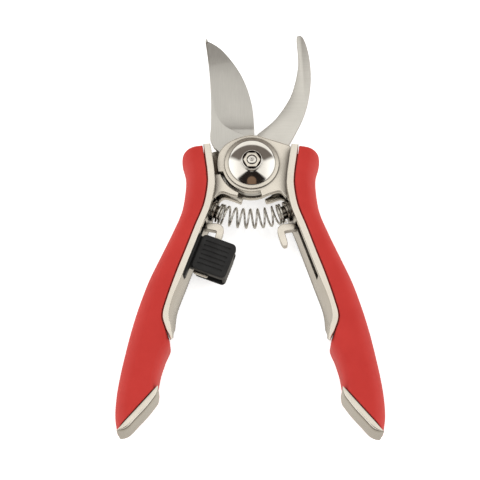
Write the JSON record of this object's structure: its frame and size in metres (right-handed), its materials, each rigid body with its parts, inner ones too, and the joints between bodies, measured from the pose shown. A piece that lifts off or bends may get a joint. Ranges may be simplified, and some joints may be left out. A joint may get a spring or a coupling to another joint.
{
  "type": "pruning shears",
  "caption": "Hand bypass pruning shears with a sprung pivot, hooked counter-blade, soft grips on metal handles and a sliding lock button.",
  "frame": {"origin": "on the pivot axis, at the flat back of the pivot bolt's head, level with the handles' back rims", "axes": "+Y towards the blade tips, +Z along the pivot towards the front face with the dome nut, +X to the right seen from the front"},
  "size_m": [0.1201, 0.1943, 0.024],
  "materials": {
    "nickel_casting": "satin nickel plate",
    "blade_steel": "fine ground steel",
    "chrome": "polished chrome",
    "grip_red": "matt soft-touch",
    "lock_black": "matt moulded",
    "spring_wire": "bright drawn wire",
    "hardware_steel": "turned steel"
  },
  "bodies": {
    "left_half": {"left_handle_frame": "nickel_casting", "left_grip": "grip_red", "counter_blade": "blade_steel", "counter_pin_upper": "hardware_steel", "counter_pin_lower": "hardware_steel", "left_spring_seat": "nickel_casting", "return_spring": "spring_wire", "pivot_bolt": "chrome", "pivot_bush": "hardware_steel", "pivot_washer": "chrome", "dome_cap": "chrome", "lock_nut": "nickel_casting"},
    "right_half": {"right_handle_frame": "nickel_casting", "right_grip": "grip_red", "cutting_blade": "blade_steel", "blade_pin_upper": "hardware_steel", "blade_pin_lower": "hardware_steel", "right_spring_seat": "nickel_casting"},
    "lock": {"lock_slider": "lock_black", "lock_plate": "nickel_casting"}
  },
  "joints": [
    {"name": "pivot", "type": "hinge", "parent": "left_half", "child": "right_half", "pos_m": [0, 0, 0.012], "axis": [0, 0, -1], "range_deg": [0, 38], "stiffness_Nm_per_rad": 0.3, "springref_deg": -28.65, "deforming": ["return_spring"]},
    {"name": "lock_slide", "type": "slide", "parent": "left_half", "child": "lock", "axis": [0.354, 0.9352, 0], "range_m": [0, 0.006]}
  ]
}
